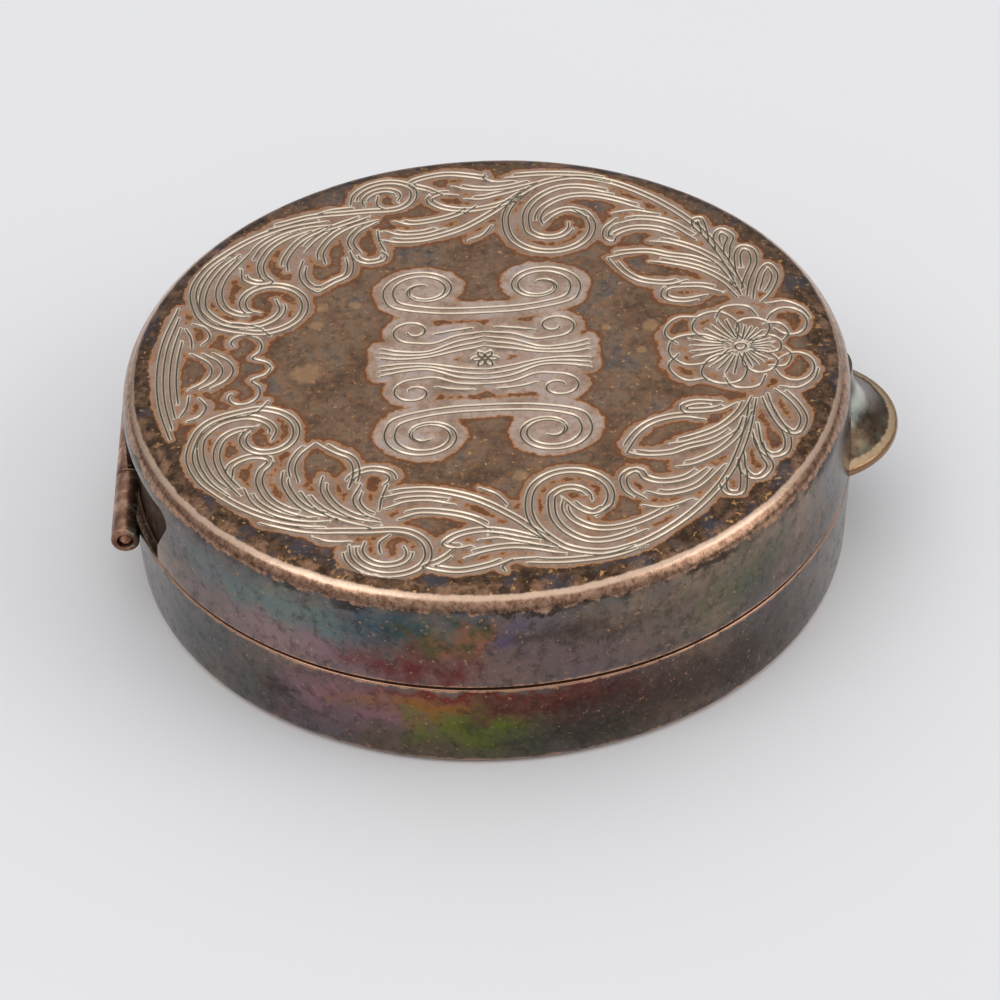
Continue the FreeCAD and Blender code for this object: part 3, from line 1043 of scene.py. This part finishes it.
def lid_material():
    graph = Graph("lid_tarnish")
    wall_colour, wall_roughness = tarnished_wall(graph, LID_STAINS, [(LID_RIM, 0.18)])
    ragged = graph.wander(2.0, 0.9, 8, 0.7)
    colour, clean = lid_top(graph, ragged)
    outward = graph.scaled(ragged, 0.6, graph.reach)
    shoulder = graph.fade(outward, FLAT_RADIUS - 0.1, FLAT_RADIUS + 0.2)
    patches = graph.patches(1.3, 8, 0.72, 0.46, 0.64)
    tan = graph.mix(graph.noise(0.5, 8, 0.72), (104, 76, 56), (164, 126, 100))
    colour = graph.mix(shoulder, colour, graph.mix(patches, dark_crust(graph), tan))
    lower = graph.scaled(ragged, 0.22, graph.z)
    even = graph.scaled(ragged, 0.07, graph.z)
    # Painted highlight, partly rubbed-bright metal: a thin pale line along the shoulder's crest.
    crest_highlight = graph.times(graph.fade(even, TOP - 0.14, TOP - 0.2), graph.fade(even, TOP - 0.4, TOP - 0.3))
    band = graph.fade(lower, TOP - 0.16, TOP - 0.28)
    rubbed = graph.patches(0.35, 8, 0.76, 0.36, 0.6)
    copper = graph.mix(rubbed, (112, 80, 60), (178, 140, 116))
    colour = graph.mix(band, colour, copper)
    colour = graph.tinted(colour, crest_highlight, 0.7, (220, 190, 166))
    drop = graph.scaled(ragged, 0.7, graph.z)
    on_wall = graph.fade(drop, TOP - SHOULDER * 0.62, TOP - SHOULDER * 0.7)
    crust = graph.scaled(graph.noise(1.6, 8, 0.72), 3.0, graph.minus(graph.z, TOP))
    crust = graph.times(graph.fade(crust, 0.25, 0.5), graph.patches(5.0, 3, 0.55, 0.44, 0.56))
    wall_colour = graph.tinted(wall_colour, crust, 0.8, (48, 38, 32))
    colour = graph.mix(on_wall, colour, wall_colour)
    top_roughness = graph.scaled(graph.noise(0.3, 6, 0.68), 0.3, 0.22)
    top_roughness = graph.scaled(clean, -0.06, top_roughness)
    top_roughness = graph.scaled(band, -0.18, top_roughness)
    roughness = graph.node("Mix", {"Factor": on_wall, 2: top_roughness, 3: wall_roughness})[0]
    inner = inside(graph, wall_radius(TOP) - SHOULDER, TOP - SHOULDER, 1, SHOULDER - 0.15)
    colour = graph.mix(inner, colour, inner_silver(graph))
    return graph.metal(colour, roughness)


def base_material():
    graph = Graph("base_tarnish")
    colour, roughness = tarnished_wall(graph, BASE_STAINS, [(SEAM, 0.18), (0.12, 0.32)])
    inner = inside(graph, wall_radius(0) - BASE_EDGE, BASE_EDGE, -1, BASE_EDGE - 0.15)
    colour = graph.mix(inner, colour, inner_silver(graph))
    return graph.metal(colour, roughness)


def collar_material():
    """Dull silver inside the box; where the hinge recess shows the collar, dark brown painted shade with
    green verdigris.
    """
    graph = Graph("collar_tarnish_and_shade")
    colour = inner_silver(graph)
    outer_radius = RADIUS - WALL - COLLAR_GAP
    outer_face = graph.fade(graph.reach, outer_radius - 0.3, outer_radius - 0.15)
    # Painted shade on the collar's outer face where the hinge recess shows it: dark brown, with green
    # verdigris in the lightest parts.
    grime = graph.ramp(graph.noise(0.5, 6, 0.66), [
        (0.38, (52, 36, 26)), (0.54, (78, 54, 38)), (0.64, (92, 84, 62)), (0.72, (140, 146, 126))])
    colour = graph.mix(outer_face, colour, grime)
    roughness = graph.scaled(graph.noise(0.5, 5), 0.3, 0.25)
    roughness = graph.scaled(outer_face, 0.3, roughness)
    return graph.metal(colour, roughness, 0.8)


def hinge_material():
    """Coppery tube; along its length, the half that faces into the box is painted shade, dark brown with
    green verdigris patches.
    """
    graph = Graph("hinge_wear_and_shade")
    colour = graph.ramp(graph.noise(1.0, 7, 0.66), [
        (0.36, (112, 78, 62)), (0.5, (156, 116, 94)), (0.64, (198, 160, 134))])
    # Painted shade on the half of the tube that faces into the box, mottled with green verdigris.
    inner = graph.fade(graph.y, AXIS.y + 0.05, AXIS.y - 0.5)
    green = graph.mix(graph.patches(0.5, 5, 0.6, 0.5, 0.6), (70, 56, 42), (136, 150, 130))
    colour = graph.tinted(colour, inner, 0.85, green)
    roughness = graph.scaled(graph.noise(0.4, 5), 0.25, 0.24)
    return graph.metal(colour, roughness)


def pin_material():
    graph = Graph("pin_copper")
    colour = graph.ramp(graph.noise(0.35, 6, 0.66), [
        (0.36, (118, 76, 58)), (0.5, (166, 118, 94)), (0.64, (204, 160, 134))])
    roughness = graph.scaled(graph.noise(0.3, 4), 0.25, 0.28)
    return graph.metal(colour, roughness)


def thumb_material():
    """Brown hollow with a painted highlight as a pale band next to the wall, copper-bright rim, and
    verdigris in the crease behind the rim.
    """
    graph = Graph("thumb_wear_and_highlight")
    flare = graph.hypot(graph.x, graph.minus(graph.y, THUMB_CENTRE))
    flare = graph.scaled(graph.wander(1.2, 0.5, 6, 0.66), 0.35, flare)
    colour = graph.ramp(graph.noise(0.9, 7, 0.66), [
        (0.36, (62, 48, 36)), (0.5, (90, 72, 56)), (0.64, (112, 98, 80))])
    # Painted highlight: a pale band on the hollow next to the wall, where the cove catches the light.
    near_wall_highlight = graph.fade(flare, THUMB_NECK + 1.0, THUMB_NECK + 0.45)
    near_wall_highlight = graph.times(near_wall_highlight, graph.fade(graph.z, THUMB_HIGH.z - 0.9, THUMB_HIGH.z - 1.7))
    colour = graph.tinted(colour, near_wall_highlight, 0.8, (196, 202, 190))
    crease = graph.fade(graph.math("ABSOLUTE", graph.minus(flare, THUMB_PLAN_RADIUS - 0.62)), 0.3, 0.1)
    green = graph.times(crease, graph.patches(0.8, 4, 0.55, 0.44, 0.6))
    colour = graph.tinted(colour, green, 0.4, (98, 112, 96))
    rim = graph.fade(flare, THUMB_PLAN_RADIUS - 0.56, THUMB_PLAN_RADIUS - 0.42)
    rim_metal = graph.mix(graph.noise(0.5, 5), (134, 108, 80), (206, 178, 142))
    colour = graph.mix(rim, colour, rim_metal)
    lower_edge = graph.fade(flare, THUMB_PLAN_RADIUS - 0.16, THUMB_PLAN_RADIUS - 0.06)
    colour = graph.tinted(colour, lower_edge, 0.7, (128, 84, 52))
    roughness = graph.scaled(graph.noise(0.4, 5), 0.22, 0.12)
    return graph.metal(colour, roughness)


def floor_material():
    graph = Graph("studio_paper")
    colour = graph.mix(graph.noise(60.0, 2), (224, 224, 225), (228, 228, 229))
    return graph.surface({"Base Color": colour, "Roughness": 0.9})


# ------------------------------ stage, light and camera

def studio_world():
    """Pale room, brightest overhead."""
    world = bpy.data.worlds.new("studio")
    world.use_nodes = True
    tree = world.node_tree
    background = tree.nodes["Background"]
    place = tree.nodes.new("ShaderNodeTexCoord")
    apart = tree.nodes.new("ShaderNodeSeparateXYZ")
    sky = colour_ramp(tree, [(0.0, (82, 82, 84)), (0.55, (206, 207, 210)), (0.9, (254, 254, 255))])
    tree.links.new(place.outputs["Generated"], apart.inputs[0])
    tree.links.new(apart.outputs["Z"], sky.inputs[0])
    tree.links.new(sky.outputs["Color"], background.inputs["Color"])
    background.inputs["Strength"].default_value = WORLD_STRENGTH
    bpy.context.scene.world = world


def set_stage():
    half = 1500
    corners = [(x * half, y * half, -FLOOR_GAP) for x, y in ((-1, -1), (1, -1), (1, 1), (-1, 1))]
    floor = new_piece("floor", corners, [[0, 1, 2, 3]])
    floor.data.materials.append(floor_material())


def add_light(name, place, size, power):
    """Square light aimed at the box."""
    light = bpy.data.lights.new(name, "AREA")
    light.shape = "SQUARE"
    light.size = size * MM
    light.energy = power
    lamp = new_object(name, light)
    lamp.location = Vector(place) * MM
    lamp.rotation_euler = (-Vector(place)).to_track_quat("-Z", "Y").to_euler()


def add_camera():
    """Camera off the box's side, looking across it with the hinge to the left."""
    place = Vector((-135.07, 0.0, 115.44))
    aim = Vector((0.05, -0.44, 1.12))
    roll = math.radians(-2.61)
    camera = new_object("camera", bpy.data.cameras.new("camera"))
    camera.data.lens = 119.2
    camera.data.sensor_width = 36
    camera.data.clip_start = 0.01
    camera.location = place * MM
    turn = (aim - place).to_track_quat("-Z", "Y").to_matrix() @ Matrix.Rotation(roll, 3, "Z")
    camera.rotation_euler = turn.to_euler()
    bpy.context.scene.camera = camera


def dress(piece, material):
    """Gives a piece its only material."""
    piece.data.materials.clear()
    piece.data.materials.append(material)


bpy.context.scene.view_settings.view_transform = "Standard"
studio_world()
set_stage()
add_light("key", (-420, 700, 1000), 620, 1.7)
add_light("fill", (-250, -900, 560), 700, 2.2)
add_camera()

dress(lid(), lid_material())
dress(base(), base_material())
dress(collar(), collar_material())
hinge_look = hinge_material()
for node_name, body_name in (("base_knuckle_left", "base"), ("base_knuckle_right", "base"),
                             ("lid_knuckle", "lid")):
    dress(knuckle(node_name, body_name), hinge_look)
dress(pin(), pin_material())
dress(thumb(), thumb_material())
